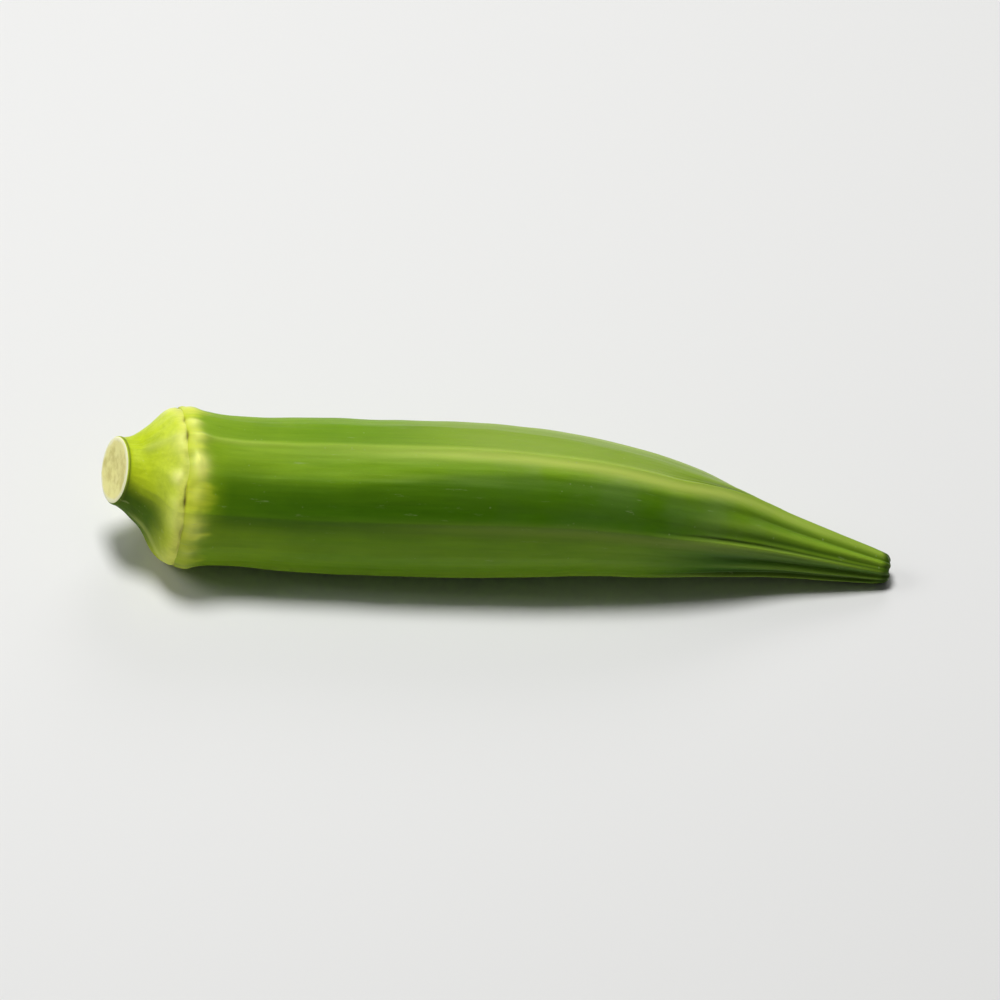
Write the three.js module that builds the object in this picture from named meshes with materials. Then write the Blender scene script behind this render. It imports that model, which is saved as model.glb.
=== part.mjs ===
// A whole fresh okra pod on a level surface, lying on a pressed strip of its lowest ridge and the end of its beak.
// Millimetres, +Z up. The pod runs along +X from the cut stem to the beak, and the surface is z = 0.
// Stations are X positions along the pod, counted from the scar ring at station 0.
import * as THREE from 'three';

// Driving dimensions
const cutStation = -7.9; // centre of the cut stem face
const tipStation = 91.1; // far end of the beak
const scarGap = 0.3; // open scar line between the stem cap and the capsule
const scarLip = 0.3; // roll of the two edges into the scar line
const cutFacing = new THREE.Vector3(-0.928, -0.245, 0.278); // way the cut stem face looks
const ringFacing = new THREE.Vector3(-0.996, -0.062, 0.063); // way the scar ring looks, to the stem side

// Pod axis: [station, sideways, height above the surface]
const axisPoints = [
  [cutStation, -0.3, 12.4],
  [-5.6, -0.2, 11.5],
  [-3.75, -0.1, 11.0],
  [-2.3, 0, 10.1],
  [-1.2, 0, 9.85],
  [0, 0, 9.8],
  [9, 0.1, 9.25],
  [23, 0.3, 9.2],
  [41, 0.55, 9.35],
  [53, 0.5, 9.05],
  [65, 0.35, 7.4],
  [77, 0.0, 4.6],
  [tipStation, -0.5, 1.75],
];

// Radius over the ridges: [station, radius]
const capsuleRadii = [
  [0, 10.3],
  [1.6, 10.35],
  [5.0, 9.85],
  [9.0, 9.65],
  [21, 10.0],
  [35, 9.95],
  [45, 9.55],
  [53, 8.8],
  [61, 7.85],
  [69, 6.35],
  [77, 4.4],
  [85, 3.05],
  [tipStation, 2.0],
];
const capRadii = [
  [cutStation, 4.25],
  [-6.9, 4.5],
  [-5.6, 5.2],
  [-3.75, 6.9],
  [-2.1, 9.2],
  [-1.2, 10.0],
  [0, 10.3],
];

// Shape of a facet between two ridges: 0 is round, 1 is flat: [station, flatness]
const facetFlatness = [
  [cutStation, 0.05],
  [-5, 0.25],
  [0, 0.25],
  [7, 0.15],
  [53, 0.2],
  [72, 0.45],
  [tipStation, 0.6],
];
// The same for the two halves of a facet, which meet in a soft rib along its middle
const halfFlatness = [
  [cutStation, 0],
  [-5, 0.2],
  [0, 0.35],
  [7, 0.35],
  [53, 0.35],
  [67, 0.25],
  [tipStation, 0.1],
];

// Two flutes to a facet, the second and wider one beside the next ridge: [station, depth as a share of the radius]
const fluteDrift = 1.5;
const fluteDepths = [
  [cutStation, 0],
  [0, 0.004],
  [10, 0.01],
  [50, 0.012],
  [66, 0.02],
  [78, 0.07],
  [tipStation, 0.13],
];

// Ridges round the pod, in degrees from straight up towards -Y, on the body and in the beak, where they crowd
const bodyRidges = [-52, 8, 67, 127, 187, 247];
const beakRidges = [-66, -30, 59, 113, 162, 220];
const crowdStart = 61;
const crowdEnd = 79;

// Mesh steps
const facetColumns = 12;
const capsuleRows = 44;
const capRows = 14;

// Column of a table of rows at a station, on a smooth curve through the rows
function valueAt(rows, station, column = 1) {
  const last = rows.length - 1;
  let i = 0;
  while (i < last - 1 && station > rows[i + 1][0]) i += 1;
  const slopeAt = (k) => {
    const before = rows[Math.max(k - 1, 0)];
    const after = rows[Math.min(k + 1, last)];
    return (after[column] - before[column]) / (after[0] - before[0]);
  };
  const span = rows[i + 1][0] - rows[i][0];
  const t = THREE.MathUtils.clamp((station - rows[i][0]) / span, 0, 1);
  const rise = t * t * (3 - 2 * t);
  const bend = span * t * (1 - t) * ((1 - t) * slopeAt(i) - t * slopeAt(i + 1));
  return THREE.MathUtils.lerp(rows[i][column], rows[i + 1][column], rise) + bend;
}

function axisAt(station) {
  return new THREE.Vector3(station, valueAt(axisPoints, station, 1), valueAt(axisPoints, station, 2));
}

// Way that a section looks, towards the stem: from the cut face it turns to the ring, then to the axis
function facingAt(station) {
  if (station < 0) {
    return ringFacing.clone().lerp(cutFacing, station / cutStation).normalize();
  }
  const step = 0.5;
  const alongAxis = axisAt(station - step).sub(axisAt(station + step)).normalize();
  return ringFacing.clone().lerp(alongAxis, THREE.MathUtils.smoothstep(station, 0, 12)).normalize();
}

function ridgeAnglesAt(station) {
  const crowding = THREE.MathUtils.smoothstep(station, crowdStart, crowdEnd);
  return bodyRidges.map((angle, i) => THREE.MathUtils.lerp(angle, beakRidges[i], crowding));
}

// Share of the radius at a fraction of the way over an arc, from 0 for the round arc to 1 for its flat chord
function chordShare(fraction, arc, flatness) {
  const half = THREE.MathUtils.degToRad(arc / 2);
  const flat = Math.cos(half) / Math.cos(half * (1 - 2 * fraction));
  return THREE.MathUtils.lerp(1, flat, flatness);
}

// Radius at a fraction of the way from one ridge to the next
function facetRadius(ridgeRadius, fraction, gap, station) {
  const facet = chordShare(fraction, gap, valueAt(facetFlatness, station));
  const halfFacet = chordShare((2 * fraction) % 1, gap / 2, valueAt(halfFlatness, station));
  const flute = valueAt(fluteDepths, station) * Math.sin(2 * Math.PI * fraction ** fluteDrift) ** 2;
  return ridgeRadius * (facet * halfFacet - flute);
}

// One closed row of points round the pod, flat where it presses on the surface
function sectionPoints(station, ridgeRadius, slide = 0) {
  const facing = facingAt(station);
  const side = facing.clone().cross(new THREE.Vector3(0, 0, 1)).normalize();
  const up = side.clone().cross(facing);
  const centre = axisAt(station).addScaledVector(facing, slide);
  const ridges = ridgeAnglesAt(station);
  const points = [];
  ridges.forEach((ridge, i) => {
    const gap = i + 1 < ridges.length ? ridges[i + 1] - ridge : ridges[0] + 360 - ridge;
    for (let column = 0; column < facetColumns; column += 1) {
      const fraction = column / facetColumns;
      const angle = THREE.MathUtils.degToRad(ridge + gap * fraction);
      const radius = facetRadius(ridgeRadius, fraction, gap, station);
      const point = centre.clone()
        .addScaledVector(up, radius * Math.cos(angle))
        .addScaledVector(side, -radius * Math.sin(angle));
      point.z = Math.max(point.z, 0);
      points.push(point);
    }
  });
  return points;
}

function centreOf(points) {
  const sum = new THREE.Vector3();
  points.forEach((point) => sum.add(point));
  return sum.divideScalar(points.length);
}

// Closed body over rows of points, ordered from the stem to the beak, with a point closing each end
function loft(rows, startPoint, endPoint) {
  const points = [startPoint, ...rows.flat(), endPoint];
  const around = rows[0].length;
  const lastRow = 1 + (rows.length - 1) * around;
  const index = [];
  for (let j = 0; j < around; j += 1) {
    const next = (j + 1) % around;
    index.push(0, 1 + next, 1 + j);
    for (let row = 1; row < lastRow; row += around) {
      index.push(row + j, row + next + around, row + j + around);
      index.push(row + j, row + next, row + next + around);
    }
    index.push(points.length - 1, lastRow + j, lastRow + next);
  }
  const geometry = new THREE.BufferGeometry().setFromPoints(points);
  geometry.setIndex(index);
  geometry.computeVertexNormals();
  return geometry;
}

function namedMesh(name, geometry, material) {
  const mesh = new THREE.Mesh(geometry, material);
  mesh.name = name;
  return mesh;
}

// Green fruit, from the ring to the blunt end of the beak
function podCapsule() {
  const tipDepth = 0.5;
  const tipHollow = 0.35;
  const rows = [sectionPoints(0, valueAt(capsuleRadii, 0) - scarLip)];
  for (let i = 0; i <= capsuleRows; i += 1) {
    const station = THREE.MathUtils.lerp(scarLip, tipStation, i / capsuleRows);
    rows.push(sectionPoints(station, valueAt(capsuleRadii, station)));
  }
  rows.push(sectionPoints(tipStation, valueAt(capsuleRadii, tipStation) * 0.7, -tipDepth));
  const endPoint = centreOf(rows.at(-1)).addScaledVector(facingAt(tipStation), tipHollow);
  const material = new THREE.MeshStandardMaterial({ color: 0x5f8f1a, roughness: 0.55, metalness: 0 });
  return namedMesh('pod_capsule', loft(rows, centreOf(rows[0]), endPoint), material);
}

// Receptacle and cut stem, up to the scar line
function stemCap() {
  const cutRim = 0.3;
  const lastStation = -scarGap - scarLip;
  const rows = [sectionPoints(cutStation, valueAt(capRadii, cutStation) - cutRim, cutRim / 2)];
  for (let i = 0; i <= capRows; i += 1) {
    const station = THREE.MathUtils.lerp(cutStation, lastStation, i / capRows);
    rows.push(sectionPoints(station, valueAt(capRadii, station)));
  }
  rows.push(sectionPoints(0, valueAt(capRadii, 0) - scarLip, scarGap));
  const material = new THREE.MeshStandardMaterial({ color: 0xa9bf3f, roughness: 0.6, metalness: 0 });
  return namedMesh('stem_cap', loft(rows, centreOf(rows[0]), centreOf(rows.at(-1))), material);
}

// The origin is on the surface, under the middle of the pod's box
const group = new THREE.Group();
group.add(podCapsule(), stemCap());
const box = new THREE.Box3().setFromObject(group);
const middle = box.getCenter(new THREE.Vector3());
group.position.set(-middle.x, -middle.y, -box.min.z);

export default group;
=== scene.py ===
import math
from functools import lru_cache
import bpy
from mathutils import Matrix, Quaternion, Vector, noise


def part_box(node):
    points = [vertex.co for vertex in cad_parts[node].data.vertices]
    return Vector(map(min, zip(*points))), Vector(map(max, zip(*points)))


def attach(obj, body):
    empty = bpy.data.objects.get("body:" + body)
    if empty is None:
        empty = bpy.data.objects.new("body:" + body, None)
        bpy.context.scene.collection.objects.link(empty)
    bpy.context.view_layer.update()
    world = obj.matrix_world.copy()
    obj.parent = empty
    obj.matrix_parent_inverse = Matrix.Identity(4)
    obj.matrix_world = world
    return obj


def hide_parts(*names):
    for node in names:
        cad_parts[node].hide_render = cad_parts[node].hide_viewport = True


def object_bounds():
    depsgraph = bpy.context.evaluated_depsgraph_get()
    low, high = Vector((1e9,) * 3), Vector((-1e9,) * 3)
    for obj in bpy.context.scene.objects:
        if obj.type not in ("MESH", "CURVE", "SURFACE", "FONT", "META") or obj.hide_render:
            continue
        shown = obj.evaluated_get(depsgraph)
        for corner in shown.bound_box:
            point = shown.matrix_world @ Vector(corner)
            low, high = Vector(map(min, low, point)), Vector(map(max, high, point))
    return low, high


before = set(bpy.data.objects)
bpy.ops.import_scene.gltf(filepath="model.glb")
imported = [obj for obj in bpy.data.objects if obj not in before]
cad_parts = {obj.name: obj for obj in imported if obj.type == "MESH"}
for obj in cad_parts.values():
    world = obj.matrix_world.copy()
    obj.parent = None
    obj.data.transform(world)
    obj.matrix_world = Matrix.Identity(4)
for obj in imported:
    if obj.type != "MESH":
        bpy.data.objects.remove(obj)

# Okra pod on a pale floor. Blender works in metres; the pod's own measures below are in millimetres.
# Stations are millimetres along the pod from the scar ring: the stem is below 0, the beak's end is near 90.
# Turns go round the pod, one to each ridge.
mm = 0.001
cadLow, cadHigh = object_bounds()

podForm = {
    "cutStation": -7.9,
    "tipStation": 91.1,
    "cutFacing": (-0.928, -0.245, 0.278),
    "ringFacing": (-0.996, -0.062, 0.063),
    "facingFadesBy": 12,
    "bodyRidges": (-52, 8, 67, 127, 187, 247),  # degrees from straight up towards the viewer
    "beakRidges": (-66, -30, 59, 113, 162, 220),
    "fluteDrift": 1.5,
    "crowding": (61, 79),  # stations between which the ridges drift together
    "ringRadius": 10.3,
    "scarGap": 0.3,  # between the two solids
}
axisPoints = (  # station, sideways, height
    (-7.9, -0.3, 12.4), (-5.6, -0.2, 11.5), (-3.75, -0.1, 11.0), (-2.3, 0, 10.1), (-1.2, 0, 9.85),
    (0, 0, 9.8), (9, 0.1, 9.25), (23, 0.3, 9.2), (41, 0.55, 9.35), (53, 0.5, 9.05), (65, 0.35, 7.4),
    (77, 0.0, 4.6), (91.1, -0.5, 1.75),
)
capsuleRadii = (
    (0, 10.3), (1.6, 10.35), (5.0, 9.85), (9.0, 9.65), (21, 10.0), (35, 9.95), (45, 9.55),
    (53, 8.8), (61, 7.85), (69, 6.35), (77, 4.4), (85, 3.05), (91.1, 2.0),
)
capRadii = ((-7.9, 4.25), (-6.9, 4.5), (-5.6, 5.2), (-3.75, 6.9), (-2.1, 9.2), (-1.2, 10.0), (0, 10.3))
facetFlatness = (  # between two ridges
    (-7.9, 0.05), (-5, 0.25), (0, 0.25), (7, 0.15), (53, 0.2), (72, 0.45), (91.1, 0.6),
)
halfFlatness = (  # from a ridge to the middle of its facet
    (-7.9, 0), (-5, 0.2), (0, 0.35), (7, 0.35), (53, 0.35), (67, 0.25), (91.1, 0.1),
)
fluteDepths = ((-7.9, 0), (0, 0.004), (10, 0.01), (50, 0.012), (66, 0.02), (78, 0.07), (91.1, 0.13))


def clamp(value, low=0.0, high=1.0):
    return max(low, min(high, value))


def smoothStep(low, high, value):
    t = clamp((value - low) / (high - low))
    return t * t * (3 - 2 * t)


def mix(a, b, share):
    return a + (b - a) * share


def bell(distance, width):
    return math.exp(-(distance / width) ** 2)


def angleApart(a, b):
    return (a - b + 180) % 360 - 180


def valueAt(rows, station, column=1):  # smooth curve through the rows of a table
    last = len(rows) - 1
    i = 0
    while i < last - 1 and station > rows[i + 1][0]:
        i += 1

    def slopeAt(k):
        before, after = rows[max(k - 1, 0)], rows[min(k + 1, last)]
        return (after[column] - before[column]) / (after[0] - before[0])

    span = rows[i + 1][0] - rows[i][0]
    t = clamp((station - rows[i][0]) / span)
    bend = span * t * (1 - t) * ((1 - t) * slopeAt(i) - t * slopeAt(i + 1))
    return mix(rows[i][column], rows[i + 1][column], smoothStep(0, 1, t)) + bend


def axisAt(station):
    return Vector((station, valueAt(axisPoints, station, 1), valueAt(axisPoints, station, 2)))


def facingAt(station):  # towards the stem
    ring = Vector(podForm["ringFacing"])
    if station < 0:
        return ring.lerp(Vector(podForm["cutFacing"]), clamp(station / podForm["cutStation"])).normalized()
    along = (axisAt(station - 0.5) - axisAt(station + 0.5)).normalized()
    return ring.lerp(along, smoothStep(0, podForm["facingFadesBy"], station)).normalized()


@lru_cache(maxsize=None)
def sectionAt(station):  # what every point of one section shares
    facing = facingAt(station)
    side = facing.cross(Vector((0, 0, 1))).normalized()
    crowding = smoothStep(*podForm["crowding"], station)
    ridges = [mix(a, b, crowding) for a, b in zip(podForm["bodyRidges"], podForm["beakRidges"])]
    gaps = [b - a for a, b in zip(ridges, ridges[1:] + [ridges[0] + 360])]
    return {
        "centre": axisAt(station),
        "side": side,
        "up": side.cross(facing),
        "ridges": ridges,
        "gaps": gaps,
        "flatness": valueAt(facetFlatness, station),
        "halfFlatness": valueAt(halfFlatness, station),
        "flute": valueAt(fluteDepths, station),
        "radius": valueAt(capRadii if station < 0 else capsuleRadii, station),
    }


def whereOn(station, turn):  # facet, fraction of it, angle in radians, and arc from the nearest ridge in mm
    section = sectionAt(station)
    facet = int(turn) % 6
    fraction = turn - math.floor(turn)
    gap = section["gaps"][facet]
    angle = math.radians(section["ridges"][facet] + gap * fraction)
    fromRidge = fraction if fraction < 0.5 else fraction - 1
    return facet, fraction, angle, fromRidge * math.radians(gap) * section["radius"]


def fluteAt(fraction):  # two flutes to a facet, the second wider one beside the next ridge
    return math.sin(2 * math.pi * fraction ** podForm["fluteDrift"]) ** 2


def pointOn(station, turn, share, lift):
    section = sectionAt(station)
    facet, fraction, angle, _ = whereOn(station, turn)
    half = math.radians(section["gaps"][facet] / 2)
    flat = math.cos(half) / math.cos(half * (1 - 2 * fraction))
    halfFlat = math.cos(half / 2) / math.cos(half / 2 * (1 - 2 * (2 * fraction % 1)))
    form = mix(1, flat, section["flatness"]) * mix(1, halfFlat, section["halfFlatness"])
    form -= section["flute"] * fluteAt(fraction)
    radius = section["radius"] * form * share + lift
    point = section["centre"] + section["up"] * radius * math.cos(angle)
    point -= section["side"] * radius * math.sin(angle)
    point.z = max(point.z, 0)
    return point


# How far the stations are from the frame's X and Y: the pod's own sections against the box of its solid
skinColumns = [i / 12 for i in range(72)]
innerShare = 1 - podForm["scarGap"] / podForm["ringRadius"]
ringPoints = [pointOn(0, turn, innerShare, 0) for turn in skinColumns]
sidePlaces = [pointOn(station, turn, 1, 0).y for station in range(1, 90) for turn in skinColumns]
capsuleLow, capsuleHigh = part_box("pod_capsule")
shiftX = capsuleLow.x / mm - min(point.x for point in ringPoints)
shiftY = (capsuleLow.y + capsuleHigh.y) / 2 / mm - (min(sidePlaces) + max(sidePlaces)) / 2
frameShift = Vector((shiftX, shiftY, 0))
print("frame shift in mm", tuple(round(v, 3) for v in frameShift))


def leaveEditMode():
    if bpy.context.object and bpy.context.object.mode != "OBJECT":
        bpy.ops.object.mode_set(mode="OBJECT")


def clearSelection():
    leaveEditMode()
    bpy.ops.object.select_all(action="DESELECT")


sameSpot = 1e-6  # points nearer than this, in metres or in turns, are one


def latheBlank(name, rings, columns, levels):  # a straight turned blank along X, from ring to ring
    clearSelection()
    station, radius = rings[0]
    bpy.ops.mesh.primitive_circle_add(
        vertices=columns, radius=radius * mm, fill_type="NOTHING",
        location=(station * mm, 0, 0), rotation=(0, math.pi / 2, 0))
    blank = bpy.context.object
    blank.name = blank.data.name = name
    bpy.ops.object.transform_apply(location=True, rotation=True, scale=True)
    bpy.ops.object.mode_set(mode="EDIT")
    for nextStation, nextRadius in rings[1:]:
        bpy.ops.mesh.extrude_region_move(
            TRANSFORM_OT_translate={"value": ((nextStation - station) * mm, 0, 0)})
        size = nextRadius / radius
        bpy.ops.transform.resize(value=(1, size, size), center_override=(nextStation * mm, 0, 0))
        station, radius = nextStation, nextRadius
    bpy.ops.mesh.merge(type="CENTER")  # the far end closes in one point
    bpy.ops.object.mode_set(mode="OBJECT")
    firstStation, firstRadius = rings[0]
    for vertex in blank.data.vertices:
        atStart = abs(vertex.co.x - firstStation * mm) < sameSpot
        onCircle = abs(math.hypot(vertex.co.y, vertex.co.z) - firstRadius * mm) < sameSpot
        vertex.select = atStart and onCircle
    bpy.ops.object.mode_set(mode="EDIT")
    bpy.ops.mesh.select_mode(type="VERT")
    bpy.ops.mesh.merge(type="CENTER")
    bpy.ops.mesh.select_all(action="SELECT")
    bpy.ops.mesh.normals_make_consistent(inside=False)
    bpy.ops.object.mode_set(mode="OBJECT")
    smoothing = blank.modifiers.new("smoothing", "SUBSURF")
    smoothing.levels = smoothing.render_levels = levels
    bpy.ops.object.modifier_apply(modifier=smoothing.name)
    bpy.ops.object.shade_smooth()
    return blank


columnCrowding = 0.45  # how far the columns of a blank gather at the ridges


def bendToPod(piece, blankRadius, skinAt, masks):
    # Moves each point of the blank to its place on the pod, and keeps where it was and what it shows
    mesh = piece.data
    straight = []
    shownValues = {mask: [] for mask in masks}
    for vertex in mesh.vertices:
        station = round(vertex.co.x / mm, 4)
        radius = math.hypot(vertex.co.y, vertex.co.z) / mm
        turn = math.atan2(-vertex.co.y, vertex.co.z) / (2 * math.pi) * 6 % 6
        facet = math.floor(turn + sameSpot)
        fraction = clamp(turn - facet)
        fraction -= columnCrowding * math.sin(2 * math.pi * fraction) / (2 * math.pi)
        turn = (facet + fraction) % 6
        share = radius / blankRadius(station)
        lift, slide, shown = skinAt(station, turn, share)
        around = turn * math.pi / 3
        straight += (station, -radius * math.sin(around), radius * math.cos(around))
        for mask in masks:
            shownValues[mask].append(shown.get(mask, 0.0))
        angle = whereOn(station, turn)[2]
        slide += scarWander(angle) * bell(station, 2.4) * smoothStep(0.5, 1, share)
        vertex.co = (pointOn(station, turn, share, lift) - facingAt(station) * slide + frameShift) * mm
        vertex.co.z = max(vertex.co.z, 0)
    mesh.attributes.new("straight", "FLOAT_VECTOR", "POINT").data.foreach_set("vector", straight)
    for mask, values in shownValues.items():
        mesh.attributes.new(mask, "FLOAT", "POINT").data.foreach_set("value", values)
    mesh.update()


# Fine relief of the skin, in millimetres
skinRelief = {
    "crestHeight": 0.07,  # thin cord along each ridge
    "crestWidth": 0.45,
    "sutureDepth": 0.3,  # seam beside each crest in the beak, darkened with painted shade
    "furrowDepth": 0.12,  # between the two ribs of a facet of the beak
    "sutureWidth": 0.22,
    "sutureBeside": -0.55,
    "lumps": 0.16,
    "fibres": 0.035,
    "wrinkles": 0.25,  # about the ring
    "wobble": 0.3,  # how far the scar line wanders
    "endLobes": 0.22,
    "endHollow": 0.3,
}
ringKnobs = (  # angle from straight up towards the viewer, station, length, width, height
    (-38, 1.2, 1.2, 2.0, 0.25), (-6, 1.1, 1.0, 1.2, 0.34), (9, 1.5, 1.2, 1.0, 0.26),
    (31, 1.6, 1.3, 1.9, 0.46), (27, 1.3, 0.55, 0.7, 0.16), (53, 1.5, 1.1, 1.2, 0.15),
    (80, 1.6, 1.4, 1.9, 0.42), (103, 1.4, 1.1, 1.6, 0.26), (128, 1.5, 1.2, 1.6, 0.3),
    (152, 1.3, 1.1, 1.5, 0.22), (214, 1.4, 1.2, 1.8, 0.28), (240, 1.4, 1.2, 1.4, 0.3),
    (268, 1.3, 1.1, 1.8, 0.25), (296, 1.5, 1.3, 1.5, 0.3),
    (41, -1.6, 0.8, 1.0, 0.42), (14, -1.3, 0.9, 1.5, 0.22), (77, -1.3, 1.1, 1.6, 0.26),
    (62, -1.6, 0.8, 1.0, 0.14), (120, -1.3, 1.0, 1.8, 0.24), (160, -1.3, 1.0, 1.6, 0.22),
    (232, -1.4, 1.1, 1.6, 0.26), (275, -1.3, 1.0, 1.8, 0.24), (318, -1.3, 1.0, 1.8, 0.24),
)
scarStrokes = (  # angle, half length in degrees, strength
    (8, 5, 0.85), (57, 11, 0.9), (-12, 4, 0.7), (84, 6, 0.4), (98, 5, 0.4),
    (140, 14, 0.7), (205, 18, 0.8), (262, 12, 0.7), (300, 14, 0.8),
)
ringReach = 6  # no knob or wrinkle is further from the scar


def softNoise(station, angle, alongScale, aroundScale, seed):
    return noise.noise(Vector((station * alongScale + seed, math.cos(angle) * aroundScale,
                               math.sin(angle) * aroundScale)))


def nearestRidge(facet, fraction):
    return (facet + (1 if fraction > 0.5 else 0)) % 6


def knobsAt(station, angle):
    if abs(station) > ringReach:
        return 0.0
    degrees = math.degrees(angle)
    total = 0.0
    for at, along, length, width, height in ringKnobs:
        around = math.radians(angleApart(degrees, at)) * podForm["ringRadius"]
        if abs(around) < 3 * width:
            total += height * bell(station - along, length) * bell(around, width)
    return total


def knobPaleAndHighlightShown(station, angle):  # pale knobs that carry painted highlight; those low on the sides get less of it, as painted shade
    turned = math.degrees(angle) % 360
    shadedLowSide = smoothStep(60, 85, turned) * (1 - smoothStep(270, 300, turned))
    return clamp(knobsAt(station, angle) / 0.4) * mix(1, 0.4, shadedLowSide)


def ringBumps(station, angle):
    if abs(station) > ringReach:
        return 0.0
    wrinkles = softNoise(station, angle, 0.55, 7.5, 12.0) * bell(station - 0.3, 2.4)
    return knobsAt(station, angle) + skinRelief["wrinkles"] * wrinkles


def scarShown(station, angle):  # brown, dried strokes in the scar line
    if abs(station) > 2.5:
        return 0.0
    degrees = math.degrees(angle)
    shown = 0.0
    for at, halfLength, strength in scarStrokes:
        shown = max(shown, strength * bell(angleApart(degrees, at), halfLength))
    ragged = 0.8 + 0.4 * noise.noise(Vector((math.cos(angle) * 9, math.sin(angle) * 9, station * 2)))
    return shown * ragged * bell(station, 0.2)


def ribAngle(station, facet):  # between the two flutes
    section = sectionAt(station)
    return section["ridges"][facet] + section["gaps"][facet] * 0.5 ** (1 / podForm["fluteDrift"])


def scarWander(angle):  # the scar line isn't a true circle
    wander = noise.noise(Vector((math.cos(angle) * 1.6, math.sin(angle) * 1.6, 4.2)))
    wander += 0.5 * noise.noise(Vector((math.cos(angle) * 4.5, math.sin(angle) * 4.5, 1.7)))
    wander += 2.0 * bell(angleApart(math.degrees(angle), 33), 15)  # bows towards the body there
    return skinRelief["wobble"] * wander


def blunted(station, facet, fraction, fromRidge):  # only the second ridge is sharp near the ring
    nearest = nearestRidge(facet, fraction)
    if nearest == 1:
        return 0.0
    worn = 0.17 * bell(fromRidge, 1.3) * bell(station - 0.5, 6.5)
    if nearest == 2:
        onBody = smoothStep(2, 9, station) * (1 - smoothStep(50, 64, station))
        worn += 0.15 * bell(fromRidge, 1.5) * onBody
    return worn


def scarCrease(station, angle):  # the groove of the scar line, deeper in some places
    depth = 0.02 + 0.24 * max(scarShown(0, angle), 0)
    return depth * bell(station, 0.28)


# Painted shade on the facets: station, then where on a facet the painted shade starts and over how much of
# the facet it grows
paintedShadeRows = (
    (0, 0.34, 0.26), (8, 0.38, 0.22), (14, 0.46, 0.18), (20, 0.5, 0.14), (26, 0.45, 0.12), (32, 0.38, 0.11),
    (38, 0.32, 0.09), (48, 0.29, 0.08), (60, 0.28, 0.07), (91.1, 0.27, 0.07),
)
# Painted highlight below each ridge, mostly the lit second one: station, then how far below a ridge the
# painted highlight band lies, its half width and its strength
paintedHighlightRows = (
    (0, 1.0, 1.3, 0), (8, 1.0, 1.3, 0.05), (18, 1.0, 1.3, 0.15), (27, 0.8, 1.1, 0.38), (36, 0.7, 0.9, 0.75),
    (48, 0.75, 0.85, 0.95), (60, 0.75, 0.85, 1), (67, 0.75, 0.9, 0.95), (75, 0.9, 0.95, 0.62),
    (82, 0.7, 0.8, 0.48), (91.1, 0.4, 0.55, 0.3),
)


# painted shade: darkens the part of each facet turned away from the light, most between the second and
# fourth ridges
def facetShade(station, facet, fraction):
    if facet == 2:
        edge = 1 - smoothStep(0, 0.3, fraction)
    else:
        start = valueAt(paintedShadeRows, station)
        soft = valueAt(paintedShadeRows, station, 2)
        edge = smoothStep(start - soft, start + soft, fraction)
        edge *= mix(0.8, 1, smoothStep(start, 0.85, fraction))
    if facet not in (1, 2):
        edge *= 0.3 * (1 - smoothStep(0.9, 1, fraction))
    inBeak = mix(1, 0.3, smoothStep(60, 74, station)) * (1 - smoothStep(76, 84, station))
    return edge * smoothStep(1, 6.5, station) * inBeak


def lowShade(station, facet, fraction):  # painted shade: the side near the ground is darkened and greener, most in the beak
    if facet not in (2, 3):
        return 0.0
    around = smoothStep(0, 0.12, fraction) if facet == 2 else 1 - smoothStep(0, 0.4, fraction)
    onRing = 0.42 * around * (smoothStep(0.2, 0.75, fraction) if facet == 2 else 1)
    onBody = around * mix(0.26, 1, smoothStep(56, 72, station))
    return mix(onRing, onBody, smoothStep(1, 6, station))


def paintedTopSheenShown(station, facet, fraction):  # painted sheen: the facets that face the light are paler from the middle on
    if facet not in (5, 0):
        return 0.0
    return smoothStep(20, 42, station) * (1 if facet == 0 else 1 - smoothStep(1, 0.6, fraction))


# painted highlight in a band just below each ridge
def paintedHighlightShown(station, facet, fraction, fromRidge):
    shown = bell(fromRidge - valueAt(paintedHighlightRows, station), valueAt(paintedHighlightRows, station, 2))
    return shown * valueAt(paintedHighlightRows, station, 3) * (1 if nearestRidge(facet, fraction) == 1 else 0.25)


def crestStands(station, facet, fraction):  # the third ridge has no cord on the body
    return smoothStep(50, 64, station) if nearestRidge(facet, fraction) == 2 else 1.0


ridgePalenessAndHighlight = (0.7, 1.0, 0.05, 0.4, 0.6, 0.8)  # paleness of each ridge on the body, with painted highlight on the lit second ridge and little on the third, which lies in painted shade


def ridgePaleAndHighlightShown(station, facet, fraction):  # ridges are paler in colour; on the body the second also carries painted highlight
    nearest = nearestRidge(facet, fraction)
    onBody = ridgePalenessAndHighlight[nearest]
    if nearest == 1:
        onBody += 0.8 * bell(station - 7, 5)
    return mix(onBody, 1, smoothStep(58, 74, station))


def endSlide(station, fraction, share):  # the blunt end is a ring of small lobes, one to a facet
    atEnd = smoothStep(podForm["tipStation"] - 1.2, podForm["tipStation"], station)
    if atEnd == 0:
        return 0.0
    lobe = math.sin(math.pi * fraction) ** 2
    return atEnd * (skinRelief["endLobes"] * (lobe - 0.45) * smoothStep(0.3, 0.7, share)
                    - skinRelief["endHollow"] * (1 - smoothStep(0.1, 0.75, share)))


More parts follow.
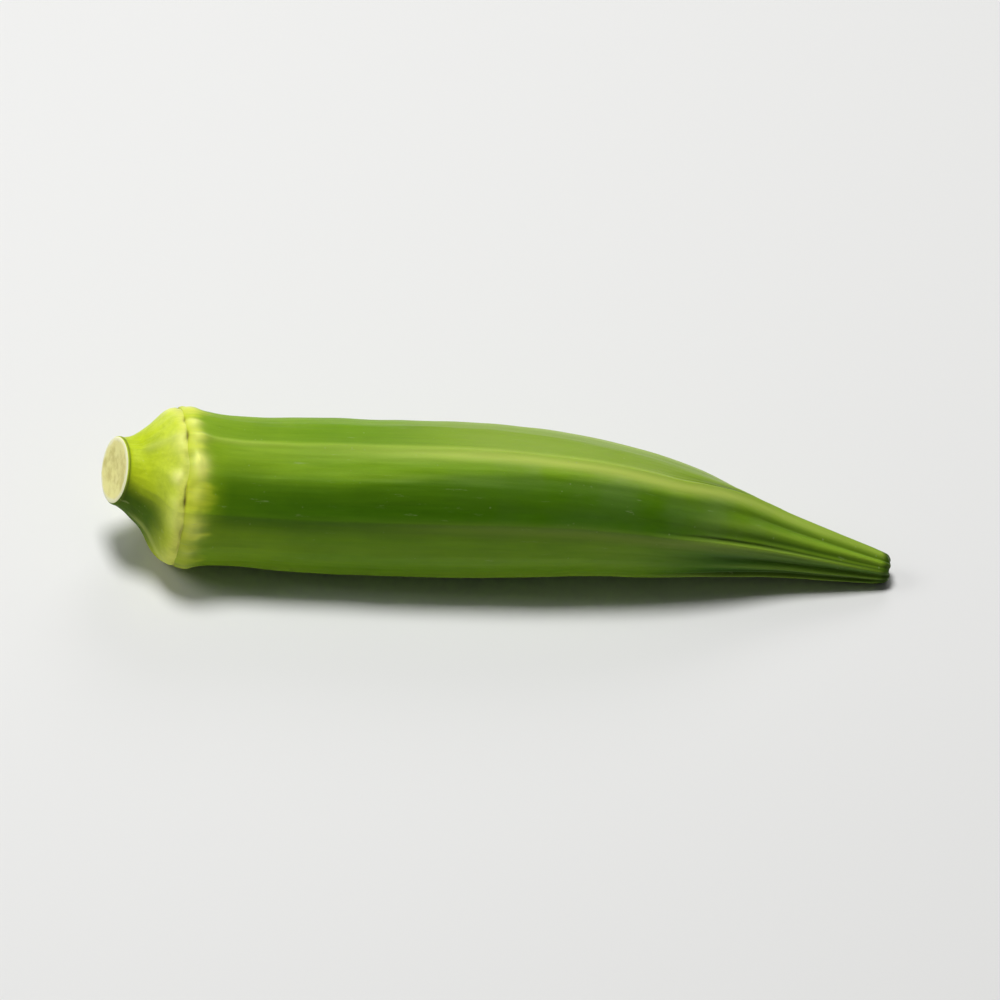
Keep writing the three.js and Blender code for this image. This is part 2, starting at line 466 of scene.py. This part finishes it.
def capsuleSkin(station, turn, share):
    facet, fraction, angle, fromRidge = whereOn(station, turn)
    onSkin = smoothStep(0.8, 1, share)
    radius = sectionAt(station)["radius"]
    early = abs(facet + fraction - 1) < 0.5  # the second ridge reaches nearly to the ring
    crestGrowth = smoothStep(*((0.8, 4) if early else (1.5, 8)), station)
    crestGrowth *= 1 - 0.4 * smoothStep(80, 90, station)
    crest = bell(fromRidge, skinRelief["crestWidth"] * mix(1, 0.75, smoothStep(60, 85, station)))
    suture = bell(fromRidge - skinRelief["sutureBeside"] * radius / 8, skinRelief["sutureWidth"])
    suture *= smoothStep(58, 72, station)
    arc = math.radians(sectionAt(station)["gaps"][facet]) * radius
    furrow = bell((fraction - 0.38) * arc, 0.4) * smoothStep(64, 78, station)
    secondFlute = smoothStep(0.55, 0.7, fraction)
    lumps = softNoise(station, angle, 0.09, 1.3, 3.1) + 0.5 * softNoise(station, angle, 0.22, 2.6, 8.4)
    fibres = softNoise(station, angle, 0.16, 17, 21.0) * smoothStep(2, 8, station)
    lift = skinRelief["crestHeight"] * crest * crestGrowth * crestStands(station, facet, fraction)
    lift -= (skinRelief["sutureDepth"] * suture + skinRelief["furrowDepth"] * furrow) * clamp(radius / 5)
    lift += skinRelief["lumps"] * lumps * smoothStep(0, 10, station) * clamp(radius / 10)
    lift += skinRelief["fibres"] * fibres
    lift += ringBumps(station, angle) - scarCrease(station, angle)
    lift -= blunted(station, facet, fraction, fromRidge)
    fromRib = math.radians(angleApart(math.degrees(angle), ribAngle(station, facet))) * radius
    nearEnd = smoothStep(podForm["tipStation"] - 2.5, podForm["tipStation"] - 0.3, station)
    lift += nearEnd * (0.06 - 0.16 * bell(fromRidge - 0.1, 0.3))
    shown = {
        "ridge": crest * crestGrowth * ridgePaleAndHighlightShown(station, facet, fraction),
        # painted shade in the seams and furrows of the beak
        "paintedGrooveShade": clamp(suture + 0.35 * furrow),
        # painted shade on the facets
        "shade": facetShade(station, facet, fraction),
        # painted shade on the side near the ground
        "low": lowShade(station, facet, fraction),
        # painted sheen on the facets that face the light
        "paintedTopSheen": paintedTopSheenShown(station, facet, fraction),
        # painted highlight below the ridges
        "paintedHighlight": paintedHighlightShown(station, facet, fraction, fromRidge),
        # painted shade in the flutes of the beak
        "flute": fluteAt(fraction) ** 2 * mix(0.4, 1, secondFlute) * smoothStep(58, 76, station),
        "rib": bell(fromRib, 0.5) * smoothStep(62, 78, station),
        "scar": scarShown(station, angle),
        "knobPaleAndHighlight": knobPaleAndHighlightShown(station, angle),
        "end": smoothStep(-1.5, -0.5, station - podForm["tipStation"]),
    }
    return lift * onSkin, endSlide(station, fraction, share), shown


capsuleBlank = {
    "columns": 90,
    "levels": 2,
    "bodyStep": 2.1,
    "masks": ("ridge", "paintedGrooveShade", "flute", "rib", "shade", "low", "paintedTopSheen", "paintedHighlight", "scar", "knobPaleAndHighlight", "end"),
}


def makeCapsule():
    tip = podForm["tipStation"]
    edge = valueAt(capsuleRadii, 0)
    rings = [(0.12, 1.5), (0.1, 6.0), (0.08, 9.0), (0.06, edge - 0.4), (0.03, edge - 0.12),
             (0.0, edge - 0.03)]
    stations = [0.08, 0.2, 0.4, 0.7, 1.1, 1.6, 2.2, 2.9, 3.7, 4.7, 6.0, 7.5]
    while stations[-1] + capsuleBlank["bodyStep"] < tip - 2.2:
        stations.append(stations[-1] + capsuleBlank["bodyStep"])
    stations += [tip - 1.7]
    rings += [(station, valueAt(capsuleRadii, station)) for station in stations]
    end = valueAt(capsuleRadii, tip)
    rings += [(tip - 1.2, end * 1.08), (tip - 0.75, end * 1.02), (tip - 0.4, end * 0.95),
              (tip - 0.1, end * 0.85), (tip + 0.1, end * 0.7), (tip + 0.18, end * 0.52),
              (tip + 0.15, end * 0.34), (tip + 0.12, end * 0.14)]
    capsule = latheBlank("okraCapsule", rings, capsuleBlank["columns"], capsuleBlank["levels"])
    bendToPod(capsule, lambda station: valueAt(capsuleRadii, station), capsuleSkin, capsuleBlank["masks"])
    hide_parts("pod_capsule")
    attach(capsule, "root")
    print("capsule", len(capsule.data.polygons), "faces")
    return capsule


capRelief = {
    "lumps": 0.24,
    "fibres": 0.05,
    "lipHeight": 0.1,  # round the cut face
    "thirdRidge": (1.5, 2.5),  # turns between which the cap shows no pale ridge
}
stemBlank = {
    "columns": 60,
    "levels": 2,
    "masks": ("ridge", "scar", "knobPaleAndHighlight", "paintedUnderShade", "paintedLipShadow", "face", "rim"),
}


def capSkin(station, turn, share):
    facet, fraction, angle, fromRidge = whereOn(station, turn)
    onSkin = smoothStep(0.8, 1, share)
    pastCut = station - podForm["cutStation"]
    onFace = 1 if pastCut < 0.12 or (pastCut < 0.3 and share < 0.9) else 0
    ridge = 0 if capRelief["thirdRidge"][0] < turn < capRelief["thirdRidge"][1] else 1
    turned = math.degrees(angle) % 360
    fromViewer = abs(angleApart(turned, 40))
    rimRagged = 0.05 * noise.noise(Vector((math.cos(angle) * 4, math.sin(angle) * 4, 7.5)))
    lumps = softNoise(station, angle, 0.3, 2.2, 5.5) + 0.4 * softNoise(station, angle, 0.6, 6, 2.5)
    fibres = softNoise(station, angle, 0.3, 14, 31.0)
    lift = capRelief["lumps"] * lumps * smoothStep(-7.6, -5, station)
    lift += capRelief["fibres"] * fibres * smoothStep(-7.8, -6.5, station)
    lift += ringBumps(station, angle) - scarCrease(station, angle)
    lift -= blunted(station, facet, fraction, fromRidge)
    lift += capRelief["lipHeight"] * bell(station + 7.55, 0.3)
    shown = {
        "ridge": ridge * bell(fromRidge, 0.7) * smoothStep(-6.5, -4.5, station),
        "scar": scarShown(station, angle),
        "knobPaleAndHighlight": knobPaleAndHighlightShown(station, angle),
        # painted shade on the underside of the cap
        "paintedUnderShade": smoothStep(44, 96, turned) * (1 - smoothStep(210, 280, turned)) * (1 - onFace),
        # painted shadow in the crease behind the lip of the cut, on the side towards the viewer
        "paintedLipShadow": bell(pastCut - 0.34, 0.16) * (1 - onFace) * smoothStep(105, 60, fromViewer),
        "face": onFace * (1 - smoothStep(0.985, 1.0, share)),
        "rim": smoothStep(0.83, 0.93, share + rimRagged) * onFace,
    }
    return lift * onSkin, 0.0, shown


def makeStem():
    cut = podForm["cutStation"]
    edge = valueAt(capRadii, cut)
    rings = [(cut + 0.2, 0.5), (cut + 0.16, 1.3), (cut + 0.1, 2.2), (cut + 0.05, 3.0), (cut, 3.6),
             (cut, edge - 0.25), (cut + 0.05, edge - 0.08)]
    stations = [cut + 0.2, cut + 0.5, -6.9, -6.3, -5.7, -5.1, -4.5, -3.9, -3.3, -2.8, -2.3, -1.8,
                -1.4, -1.0, -0.7, -0.45, -0.25, -0.1]
    rings += [(station, valueAt(capRadii, station)) for station in stations]
    inner = valueAt(capRadii, 0)
    rings += [(0.02, inner - 0.01), (0.12, inner - 0.06), (0.22, inner - 0.18), (0.2, inner - 0.6),
              (0.05, 9.0), (0.0, 6.0), (0.0, 1.5)]
    stem = latheBlank("okraStem", rings, stemBlank["columns"], stemBlank["levels"])
    bendToPod(stem, lambda station: valueAt(capRadii, station), capSkin, stemBlank["masks"])
    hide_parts("stem_cap")
    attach(stem, "root")
    print("stem", len(stem.data.polygons), "faces")
    return stem


capsule = makeCapsule()
stem = makeStem()


# Materials

def newMaterial(name):
    material = bpy.data.materials.new(name)
    material.use_nodes = True
    return material, material.node_tree, material.node_tree.nodes["Principled BSDF"]


def addNode(tree, kind, **settings):
    node = tree.nodes.new(kind)
    for key, value in settings.items():
        setattr(node, key, value)
    return node


def setInputs(node, **values):
    for key, value in values.items():
        node.inputs[key].default_value = value
    return node


def attributeOf(tree, name, output="Fac"):
    return addNode(tree, "ShaderNodeAttribute", attribute_name=name).outputs[output]


def scaled(tree, source, factor, offset=0.0):
    node = addNode(tree, "ShaderNodeMath", operation="MULTIPLY_ADD")
    tree.links.new(source, node.inputs[0])
    node.inputs[1].default_value = factor
    node.inputs[2].default_value = offset
    return node.outputs[0]


def joined(tree, a, b, operation="ADD"):
    node = addNode(tree, "ShaderNodeMath", operation=operation)
    tree.links.new(a, node.inputs[0])
    tree.links.new(b, node.inputs[1])
    return node.outputs[0]


def ranged(tree, source, low, high, toLow=0.0, toHigh=1.0):
    node = addNode(tree, "ShaderNodeMapRange", interpolation_type="SMOOTHSTEP")
    tree.links.new(source, node.inputs["Value"])
    node.inputs["From Min"].default_value = low
    node.inputs["From Max"].default_value = high
    node.inputs["To Min"].default_value = toLow
    node.inputs["To Max"].default_value = toHigh
    return node.outputs["Result"]


def blended(tree, base, colour, share, blendType="MIX"):
    node = addNode(tree, "ShaderNodeMix", data_type="RGBA", blend_type=blendType)
    for source, socket in ((base, node.inputs["A"]), (colour, node.inputs["B"])):
        if isinstance(source, tuple):
            socket.default_value = (*source, 1)
        else:
            tree.links.new(source, socket)
    tree.links.new(share, node.inputs["Factor"])
    return node.outputs["Result"]


def layered(tree, colour, finish, layers):  # each layer: mask, colour in the finish, strength, kind of mix
    for mask, key, strength, blendType in layers:
        share = scaled(tree, attributeOf(tree, mask), strength)
        colour = blended(tree, colour, finish[key], share, blendType)
    return colour


def colourRamp(tree, source, stops):
    node = addNode(tree, "ShaderNodeValToRGB")
    ramp = node.color_ramp
    ramp.interpolation = "EASE"
    while len(ramp.elements) < len(stops):
        ramp.elements.new(0.5)
    for element, (position, colour) in zip(ramp.elements, stops):
        element.position = position
        element.color = (*colour, 1)
    tree.links.new(source, node.inputs["Fac"])
    return node.outputs["Color"]


def newGroup(name, inputs, outputs):
    group = bpy.data.node_groups.new(name, "ShaderNodeTree")
    for socketName, socketType, value in inputs:
        socket = group.interface.new_socket(socketName, in_out="INPUT", socket_type=socketType)
        if value is not None:
            socket.default_value = value
    for socketName, socketType in outputs:
        group.interface.new_socket(socketName, in_out="OUTPUT", socket_type=socketType)
    return group, group.nodes.new("NodeGroupInput"), group.nodes.new("NodeGroupOutput")


def makeFibreGroup():  # streaks that run along the pod
    group, ins, outs = newGroup(
        "fibreStreaks",
        (("Place", "NodeSocketVector", None), ("Along", "NodeSocketFloat", 0.12),
         ("Around", "NodeSocketFloat", 2.2)),
        (("Streaks", "NodeSocketFloat"), ("Bands", "NodeSocketFloat")))
    stretch = addNode(group, "ShaderNodeCombineXYZ")
    group.links.new(ins.outputs["Along"], stretch.inputs["X"])
    group.links.new(ins.outputs["Around"], stretch.inputs["Y"])
    group.links.new(ins.outputs["Around"], stretch.inputs["Z"])
    placed = addNode(group, "ShaderNodeVectorMath", operation="MULTIPLY")
    group.links.new(ins.outputs["Place"], placed.inputs[0])
    group.links.new(stretch.outputs[0], placed.inputs[1])
    fine = setInputs(addNode(group, "ShaderNodeTexNoise"), Scale=1.0, Detail=3.0, Roughness=0.6)
    broad = setInputs(addNode(group, "ShaderNodeTexNoise"), Scale=0.28, Detail=2.0, Roughness=0.5)
    for texture, output in ((fine, "Streaks"), (broad, "Bands")):
        group.links.new(placed.outputs[0], texture.inputs["Vector"])
        group.links.new(texture.outputs["Fac"], outs.inputs[output])
    return group


def makeSpeckleGroup():  # pale dots and short scuffs, larger where the skin has been rubbed
    group, ins, outs = newGroup(
        "speckle",
        (("Place", "NodeSocketVector", None), ("Size", "NodeSocketFloat", 0.9),
         ("Amount", "NodeSocketFloat", 0.5)),
        (("Dots", "NodeSocketFloat"), ("Scuffs", "NodeSocketFloat")))
    dots = addNode(group, "ShaderNodeTexVoronoi", feature="F1")
    group.links.new(ins.outputs["Place"], dots.inputs["Vector"])
    group.links.new(ins.outputs["Size"], dots.inputs["Scale"])
    dotEdge = ranged(group, dots.outputs["Distance"], 0.16, 0.06)
    sparse = setInputs(addNode(group, "ShaderNodeTexNoise"), Scale=0.35, Detail=2.0)
    group.links.new(ins.outputs["Place"], sparse.inputs["Vector"])
    few = ranged(group, sparse.outputs["Fac"], 0.5, 0.66)
    fewDots = joined(group, dotEdge, few, "MULTIPLY")
    group.links.new(joined(group, fewDots, ins.outputs["Amount"], "MULTIPLY"), outs.inputs["Dots"])
    stretch = addNode(group, "ShaderNodeMapping")
    stretch.inputs["Scale"].default_value = (0.22, 1.5, 1.5)
    group.links.new(ins.outputs["Place"], stretch.inputs["Vector"])
    rubbed = setInputs(addNode(group, "ShaderNodeTexNoise"), Scale=1.1, Detail=4.0, Roughness=0.65)
    group.links.new(stretch.outputs[0], rubbed.inputs["Vector"])
    scuff = ranged(group, rubbed.outputs["Fac"], 0.64, 0.74)
    group.links.new(joined(group, scuff, ins.outputs["Amount"], "MULTIPLY"), outs.inputs["Scuffs"])
    return group


def makeGrainGroup():  # fine down and pores of the skin
    group, ins, outs = newGroup(
        "skinGrain",
        (("Place", "NodeSocketVector", None), ("Size", "NodeSocketFloat", 5.0)),
        (("Grain", "NodeSocketFloat"), ("Mottle", "NodeSocketFloat")))
    grain = setInputs(addNode(group, "ShaderNodeTexNoise"), Detail=3.0, Roughness=0.7)
    mottle = setInputs(addNode(group, "ShaderNodeTexNoise"), Scale=0.16, Detail=3.0, Roughness=0.55)
    group.links.new(ins.outputs["Place"], grain.inputs["Vector"])
    group.links.new(ins.outputs["Size"], grain.inputs["Scale"])
    group.links.new(ins.outputs["Place"], mottle.inputs["Vector"])
    group.links.new(grain.outputs["Fac"], outs.inputs["Grain"])
    group.links.new(mottle.outputs["Fac"], outs.inputs["Mottle"])
    return group


fibreGroup = makeFibreGroup()
speckleGroup = makeSpeckleGroup()
grainGroup = makeGrainGroup()


def placeGroup(tree, group, place, **values):
    node = addNode(tree, "ShaderNodeGroup", node_tree=group)
    tree.links.new(place, node.inputs["Place"])
    return setInputs(node, **values)


podSkin = {
    "ringColour": (0.72, 0.80, 0.040),
    "neckColour": (0.265, 0.440, 0.006),
    "bodyColour": (0.195, 0.370, 0.004),
    "beakColour": (0.210, 0.380, 0.016),
    "endColour": (0.030, 0.070, 0.004),
    "ridgeColour": (0.36, 0.50, 0.06),
    "paintedSheenColour": (0.34, 0.46, 0.16),
    "shadeTint": (0.27, 0.41, 0.20),
    "paintedLowShadeTint": (0.15, 0.34, 0.08),
    "paintedHighlightColour": (0.50, 0.62, 0.11),
    "paintedTopSheenColour": (0.33, 0.45, 0.045),
    "mottleColour": (0.12, 0.25, 0.005),
    "fibreColour": (0.27, 0.43, 0.02),
    "streakTint": (0.62, 0.72, 0.45),
    "knobPaleAndHighlightColour": (0.95, 0.99, 0.24),
    "paintedGrooveShadeColour": (0.018, 0.050, 0.002),
    "speckleColour": (0.40, 0.50, 0.22),
    "scarColour": (0.11, 0.075, 0.010),
    "roughness": 0.42,
    "sheenTint": (0.80, 0.95, 0.62),
    "bumpDepth": 0.00006,
}
# In these layers the facet shade, the low side, the flutes and the grooves are painted shade; the top
# facets and the band below the second ridge are painted sheen and painted highlight; ridges, ribs and knobs
# are paler in colour
podLayers = (
    ("shade", "shadeTint", 1.0, "MULTIPLY"), ("low", "paintedLowShadeTint", 1.0, "MULTIPLY"),
    ("paintedTopSheen", "paintedTopSheenColour", 0.5, "MIX"), ("paintedHighlight", "paintedHighlightColour", 1.0, "MIX"),
    ("flute", "paintedGrooveShadeColour", 0.8, "MIX"), ("rib", "ridgeColour", 0.3, "MIX"),
    ("ridge", "ridgeColour", 0.4, "MIX"), ("paintedGrooveShade", "paintedGrooveShadeColour", 0.8, "MIX"),
    # knobs: pale colour with painted highlight
    ("knobPaleAndHighlight", "knobPaleAndHighlightColour", 0.9, "MIX"),
)
podLastLayers = (("end", "endColour", 0.9, "MIX"), ("scar", "scarColour", 1.0, "MIX"))


def makePodSkin():
    material, tree, shader = newMaterial("okraSkin")
    place = attributeOf(tree, "straight", "Vector")
    split = addNode(tree, "ShaderNodeSeparateXYZ")
    tree.links.new(place, split.inputs[0])
    fibres = placeGroup(tree, fibreGroup, place, Along=0.10, Around=2.4)
    specks = placeGroup(tree, speckleGroup, place, Size=0.95, Amount=0.55)
    grain = placeGroup(tree, grainGroup, place, Size=5.0)
    wander = scaled(tree, grain.outputs["Mottle"], 6.0, -2.8)
    tongues = scaled(tree, fibres.outputs["Bands"], 5.5, -2.75)
    station = joined(tree, joined(tree, split.outputs["X"], wander), tongues)
    along = scaled(tree, station, 0.01)
    colour = colourRamp(tree, along, (
        (0.0, podSkin["ringColour"]), (0.01, podSkin["ringColour"]), (0.036, podSkin["neckColour"]),
        (0.2, podSkin["bodyColour"]), (0.6, podSkin["bodyColour"]), (0.8, podSkin["beakColour"]),
        (0.96, podSkin["beakColour"])))
    shade = ranged(tree, grain.outputs["Mottle"], 0.3, 0.7)
    colour = blended(tree, colour, podSkin["mottleColour"], scaled(tree, shade, 0.3))
    bands = ranged(tree, fibres.outputs["Bands"], 0.35, 0.7)
    colour = blended(tree, colour, podSkin["fibreColour"], scaled(tree, bands, 0.25))
    streaks = ranged(tree, fibres.outputs["Streaks"], 0.3, 0.72)
    colour = blended(tree, colour, podSkin["streakTint"], scaled(tree, streaks, -0.28, 0.28), "MULTIPLY")
    # painted sheen: a pale haze from the middle of the body on, kept off the painted shade of the low side
    paintedSheenStart = ranged(tree, station, 28, 60)
    paintedSheenEnd = ranged(tree, station, 84, 66)
    paintedSheen = joined(tree, joined(tree, paintedSheenStart, paintedSheenEnd, "MULTIPLY"), shade, "MULTIPLY")
    paintedSheen = joined(tree, paintedSheen, ranged(tree, attributeOf(tree, "low"), 0, 0.26, 1, 0.1), "MULTIPLY")
    colour = blended(tree, colour, podSkin["paintedSheenColour"], scaled(tree, paintedSheen, 0.4))
    colour = layered(tree, colour, podSkin, podLayers)
    colour = blended(tree, colour, podSkin["speckleColour"], scaled(tree, specks.outputs["Dots"], 0.5))
    colour = blended(tree, colour, podSkin["speckleColour"], scaled(tree, specks.outputs["Scuffs"], 0.45))
    colour = layered(tree, colour, podSkin, podLastLayers)
    tree.links.new(colour, shader.inputs["Base Color"])
    roughness = joined(tree, scaled(tree, grain.outputs["Grain"], 0.16, podSkin["roughness"] - 0.08),
                       scaled(tree, specks.outputs["Scuffs"], 0.2))
    roughness = joined(tree, roughness, ranged(tree, station, 42, 8, 0, 0.14))
    roughness = joined(tree, roughness, scaled(tree, attributeOf(tree, "knobPaleAndHighlight"), -0.3))
    tree.links.new(roughness, shader.inputs["Roughness"])
    height = joined(tree, scaled(tree, fibres.outputs["Streaks"], 0.7),
                    scaled(tree, grain.outputs["Grain"], 0.45))
    bump = setInputs(addNode(tree, "ShaderNodeBump"), Strength=0.4, Distance=podSkin["bumpDepth"])
    tree.links.new(height, bump.inputs["Height"])
    tree.links.new(bump.outputs["Normal"], shader.inputs["Normal"])
    setInputs(shader, **{
        "Specular IOR Level": 0.24, "Specular Tint": (0.85, 1.0, 0.4, 1), "Sheen Weight": 0.02,
        "Sheen Roughness": 0.3, "Sheen Tint": (*podSkin["sheenTint"], 1), "Subsurface Weight": 0.12,
        "Subsurface Scale": 0.0012, "Subsurface Radius": (0.6, 1.0, 0.15)})
    return material


stemFlesh = {
    "skinColour": (0.58, 0.70, 0.020),
    "paleColour": (0.80, 0.85, 0.14),
    "darkColour": (0.26, 0.38, 0.006),
    "faceColour": (0.92, 0.87, 0.36),
    "faceDark": (0.68, 0.61, 0.20),
    "rimColour": (0.97, 0.95, 0.62),
    "scarColour": (0.13, 0.085, 0.012),
    "shoulderColour": (0.66, 0.77, 0.06),
    "streakTint": (0.66, 0.74, 0.45),
    "paintedUnderShadeTint": (0.13, 0.22, 0.05),
    "paintedLipShadowColour": (0.10, 0.14, 0.01),
    "ridgeColour": (0.60, 0.66, 0.18),
    "knobPaleAndHighlightColour": (0.95, 0.99, 0.28),
    "scuffColour": (0.66, 0.70, 0.30),
    "bumpDepth": 0.00010,
}
stemLayers = (
    # painted shadow behind the lip of the cut
    ("paintedLipShadow", "paintedLipShadowColour", 0.8, "MIX"), ("ridge", "ridgeColour", 0.35, "MIX"),
    # knobs: pale colour with painted highlight
    ("knobPaleAndHighlight", "knobPaleAndHighlightColour", 0.9, "MIX"),
)


def makeStemFlesh():
    material, tree, shader = newMaterial("okraStemFlesh")
    place = attributeOf(tree, "straight", "Vector")
    split = addNode(tree, "ShaderNodeSeparateXYZ")
    tree.links.new(place, split.inputs[0])
    fibres = placeGroup(tree, fibreGroup, place, Along=0.35, Around=1.9)
    specks = placeGroup(tree, speckleGroup, place, Size=1.1, Amount=0.5)
    grain = placeGroup(tree, grainGroup, place, Size=6.0)
    mottle = setInputs(addNode(tree, "ShaderNodeTexNoise"), Scale=0.32, Detail=3.0)
    tree.links.new(place, mottle.inputs["Vector"])
    station = joined(tree, split.outputs["X"], scaled(tree, mottle.outputs["Fac"], 2.4, -1.2))
    colour = colourRamp(tree, scaled(tree, station, 0.125, 1.0), (
        (0.0, stemFlesh["skinColour"]), (0.35, stemFlesh["skinColour"]),
        (0.72, stemFlesh["shoulderColour"]), (0.95, stemFlesh["paleColour"])))
    shade = ranged(tree, mottle.outputs["Fac"], 0.42, 0.7)
    colour = blended(tree, colour, stemFlesh["darkColour"], scaled(tree, shade, 0.35))
    streaks = ranged(tree, fibres.outputs["Streaks"], 0.3, 0.72)
    colour = blended(tree, colour, stemFlesh["streakTint"], scaled(tree, streaks, -0.3, 0.3), "MULTIPLY")
    # painted shade on the underside of the cap, fading out towards the ring
    fadesToRing = ranged(tree, split.outputs["X"], -0.6, -4.2)
    paintedUnderShade = joined(tree, attributeOf(tree, "paintedUnderShade"), fadesToRing, "MULTIPLY")
    colour = blended(tree, colour, stemFlesh["paintedUnderShadeTint"], paintedUnderShade, "MULTIPLY")
    colour = layered(tree, colour, stemFlesh, stemLayers)
    colour = blended(tree, colour, stemFlesh["scuffColour"], scaled(tree, specks.outputs["Scuffs"], 0.5))
    colour = blended(tree, colour, stemFlesh["scarColour"], attributeOf(tree, "scar"))
    faceNoise = setInputs(addNode(tree, "ShaderNodeTexNoise"), Scale=0.46, Detail=4.0, Roughness=0.6)
    tree.links.new(place, faceNoise.inputs["Vector"])
    faceShade = ranged(tree, faceNoise.outputs["Fac"], 0.42, 0.66)
    faceColour = blended(tree, stemFlesh["faceColour"], stemFlesh["faceDark"], scaled(tree, faceShade, 0.8))
    faceColour = blended(tree, faceColour, stemFlesh["rimColour"], attributeOf(tree, "rim"))
    colour = blended(tree, colour, faceColour, attributeOf(tree, "face"))
    tree.links.new(colour, shader.inputs["Base Color"])
    roughness = joined(tree, scaled(tree, grain.outputs["Grain"], 0.16, 0.40),
                       scaled(tree, attributeOf(tree, "face"), 0.2))
    roughness = joined(tree, roughness, scaled(tree, attributeOf(tree, "knobPaleAndHighlight"), -0.3))
    roughness = joined(tree, roughness, scaled(tree, attributeOf(tree, "paintedUnderShade"), 0.3))
    tree.links.new(roughness, shader.inputs["Roughness"])
    height = joined(tree, scaled(tree, fibres.outputs["Streaks"], 0.6),
                    scaled(tree, grain.outputs["Grain"], 0.5))
    height = joined(tree, height, scaled(tree, faceNoise.outputs["Fac"], 0.5))
    bump = setInputs(addNode(tree, "ShaderNodeBump"), Strength=0.6, Distance=stemFlesh["bumpDepth"])
    tree.links.new(height, bump.inputs["Height"])
    tree.links.new(bump.outputs["Normal"], shader.inputs["Normal"])
    setInputs(shader, **{
        "Specular IOR Level": 0.24, "Specular Tint": (0.9, 1.0, 0.5, 1), "Sheen Weight": 0.02,
        "Sheen Roughness": 0.3, "Sheen Tint": (*podSkin["sheenTint"], 1), "Subsurface Weight": 0.18,
        "Subsurface Scale": 0.0015, "Subsurface Radius": (0.8, 1.0, 0.2)})
    return material


capsule.data.materials.append(makePodSkin())
stem.data.materials.append(makeStemFlesh())
print("materials done")


# Floor, light and camera

def makeFloor():
    clearSelection()
    bpy.ops.mesh.primitive_plane_add(size=6, location=(0, 0, 0))
    floor = bpy.context.object
    floor.name = "paleFloor"
    material, _, shader = newMaterial("paleFloorFinish")
    setInputs(shader, **{"Base Color": (0.80, 0.80, 0.79, 1), "Roughness": 0.75, "Specular IOR Level": 0.2})
    floor.data.materials.append(material)


studio = {
    "keyPower": 5.3,
    "keySize": 0.3,
    "keyPlace": (-0.13, 0.10, 0.80),
    "rimPower": 0.85,
    "rimSize": 0.35,
    "rimPlace": (0.10, 0.60, 0.42),
    "fillPower": 1.35,
    "fillSize": 0.4,
    "fillPlace": (-0.65, 0.0, 0.5),
    "skyStrength": 0.06,
    "skyColour": (1.0, 1.0, 1.0),
}


def addSoftLight(name, place, power, size):
    light = bpy.data.lights.new(name, "AREA")
    light.shape = "DISK"
    light.energy = power
    light.size = size
    lamp = bpy.data.objects.new(name, light)
    lamp.location = place
    lamp.rotation_mode = "QUATERNION"
    lamp.rotation_quaternion = (-Vector(place)).to_track_quat("-Z", "Y")
    bpy.context.collection.objects.link(lamp)


def makeStudio():
    for part in ("key", "rim", "fill"):
        addSoftLight(part + "Light", studio[part + "Place"], studio[part + "Power"], studio[part + "Size"])
    world = bpy.data.worlds.new("studioSky")
    world.use_nodes = True
    sky = world.node_tree.nodes["Background"]
    sky.inputs["Color"].default_value = (*studio["skyColour"], 1)
    sky.inputs["Strength"].default_value = studio["skyStrength"]
    bpy.context.scene.world = world
    bpy.context.scene.view_settings.view_transform = "Standard"


photoView = {
    "azimuth": -4.0,  # degrees, turned towards the cut stem
    "elevation": 42.0,
    "roll": 5.4,  # the pod slopes down to the right as in the photograph
    "distance": 2.0,
    "frameShare": 0.8,  # of the picture's width that the pod fills
}


def makeCamera():
    azimuth, elevation = math.radians(photoView["azimuth"]), math.radians(photoView["elevation"])
    back = Vector((math.sin(azimuth) * math.cos(elevation), -math.cos(azimuth) * math.cos(elevation),
                   math.sin(elevation)))
    middle = (cadLow + cadHigh) / 2
    data = bpy.data.cameras.new("photoCamera")
    camera = bpy.data.objects.new("photoCamera", data)
    bpy.context.collection.objects.link(camera)
    camera.location = middle + back * photoView["distance"]
    camera.rotation_mode = "QUATERNION"
    roll = Quaternion((0, 0, 1), math.radians(photoView["roll"]))
    camera.rotation_quaternion = (-back).to_track_quat("-Z", "Y") @ roll
    width = (cadHigh.x - cadLow.x) / photoView["frameShare"]
    data.lens = data.sensor_width * photoView["distance"] / width
    data.clip_start = 0.05
    bpy.context.scene.camera = camera


makeFloor()
makeStudio()
makeCamera()
print("stage done")
